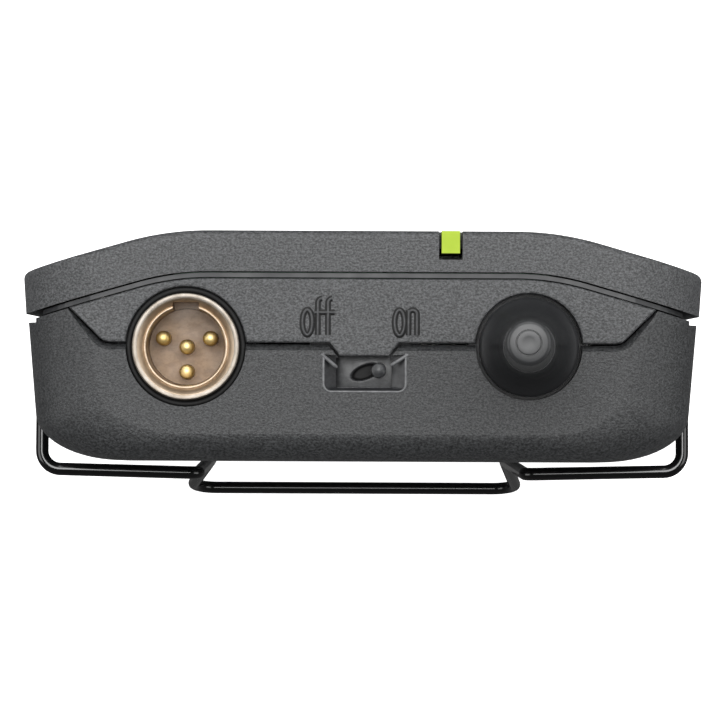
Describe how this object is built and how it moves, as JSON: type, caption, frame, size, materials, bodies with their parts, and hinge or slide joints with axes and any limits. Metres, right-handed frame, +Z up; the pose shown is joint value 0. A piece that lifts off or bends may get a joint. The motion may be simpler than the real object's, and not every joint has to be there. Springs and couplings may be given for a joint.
{
  "type": "wireless bodypack transmitter",
  "caption": "Belt-worn radio microphone transmitter: flat case with hinged battery door, wire belt clip, keyed mic socket, recessed slide switch and flexible antenna.",
  "frame": {"origin": "middle of the width and of the case's depth, on the flat bottom face that it stands on", "axes": "+Z up the case's length towards the connector and antenna, +Y from the front face to the belt clip, +X towards the connector's side"},
  "size_m": [0.065, 0.0263, 0.16],
  "materials": {
    "case_plastic": "fine textured dark grey moulding",
    "black_plastic": "smooth black moulding",
    "white_plastic": "off-white moulding",
    "lime_plastic": "translucent lime green light guide",
    "brown_insert": "brown moulded insulator",
    "seal_rubber": "grey seal",
    "antenna_rubber": "smooth satin black rubber",
    "window_glass": "smoked clear window",
    "display_grey": "grey green display glass",
    "circuit_board": "green solder mask",
    "cell_jacket": "printed-free metal cell jacket",
    "contact_steel": "nickel plated steel",
    "satin_nickel": "satin nickel plating, warm",
    "gold_plate": "gold plated contacts",
    "brass_part": "turned brass",
    "black_wire": "gloss black coated spring wire",
    "black_screw": "black oxide screws"
  },
  "bodies": {
    "case": {"rear_case": "case_plastic", "front_case": "case_plastic", "front_cover": "case_plastic", "cover_seal": "seal_rubber", "display_window": "window_glass", "display_panel": "display_grey", "display_board": "circuit_board", "board_header": "black_plastic", "status_light_guide": "lime_plastic", "status_led": "white_plastic", "tact_switches": "contact_steel", "hinge_pins": "contact_steel", "battery_tray": "black_plastic", "battery_left": "cell_jacket", "battery_right": "cell_jacket", "bridge_contact": "contact_steel", "bridge_spring": "contact_steel", "top_contacts": "contact_steel", "connector_shell": "satin_nickel", "connector_nut": "satin_nickel", "connector_insert": "brown_insert", "contact_pins": "gold_plate", "audio_board": "circuit_board", "antenna_boot": "antenna_rubber", "antenna_whip": "antenna_rubber", "antenna_core": "contact_steel", "antenna_ferrule": "brass_part", "antenna_contact": "contact_steel", "slide_switch": "contact_steel", "main_board": "circuit_board", "board_chips": "black_plastic", "rf_shield": "contact_steel", "gain_pot": "white_plastic", "case_screws": "black_screw", "cover_screws": "contact_steel", "board_screws": "contact_steel"},
    "power_slider": {"power_slider": "black_plastic"},
    "belt_clip": {"belt_clip": "black_wire"},
    "battery_door": {"battery_door": "case_plastic"},
    "latch_left": {"latch_left": "black_plastic"},
    "latch_right": {"latch_right": "black_plastic"},
    "gain_rotor": {"gain_rotor": "white_plastic"},
    "group_button": {"group_button": "black_plastic"},
    "channel_button": {"channel_button": "black_plastic"}
  },
  "joints": [
    {"name": "power_slide", "type": "slide", "parent": "case", "child": "power_slider", "axis": [1, 0, 0], "range_m": [0, 0.002]},
    {"name": "clip_swing", "type": "hinge", "parent": "case", "child": "belt_clip", "pos_m": [0, 0.004, 0.0735], "axis": [1, 0, 0], "range_deg": [0, 12], "stiffness_Nm_per_rad": 0.2},
    {"name": "door_swing", "type": "hinge", "parent": "case", "child": "battery_door", "pos_m": [0, -0.0074, 0.0026], "axis": [1, 0, 0], "range_deg": [0, 95]},
    {"name": "latch_left_press", "type": "slide", "parent": "battery_door", "child": "latch_left", "axis": [1, 0, 0], "range_m": [0, 0.0008], "stiffness_N_per_m": 400},
    {"name": "latch_right_press", "type": "slide", "parent": "battery_door", "child": "latch_right", "axis": [-1, 0, 0], "range_m": [0, 0.0008], "stiffness_N_per_m": 400},
    {"name": "gain_turn", "type": "hinge", "parent": "case", "child": "gain_rotor", "pos_m": [0.022, 0, 0.0492], "axis": [0, -1, 0], "range_deg": [-135, 135]},
    {"name": "group_press", "type": "slide", "parent": "case", "child": "group_button", "axis": [0, 1, 0], "range_m": [0, 0.0003], "stiffness_N_per_m": 1000},
    {"name": "channel_press", "type": "slide", "parent": "case", "child": "channel_button", "axis": [0, 1, 0], "range_m": [0, 0.0003], "stiffness_N_per_m": 1000}
  ]
}
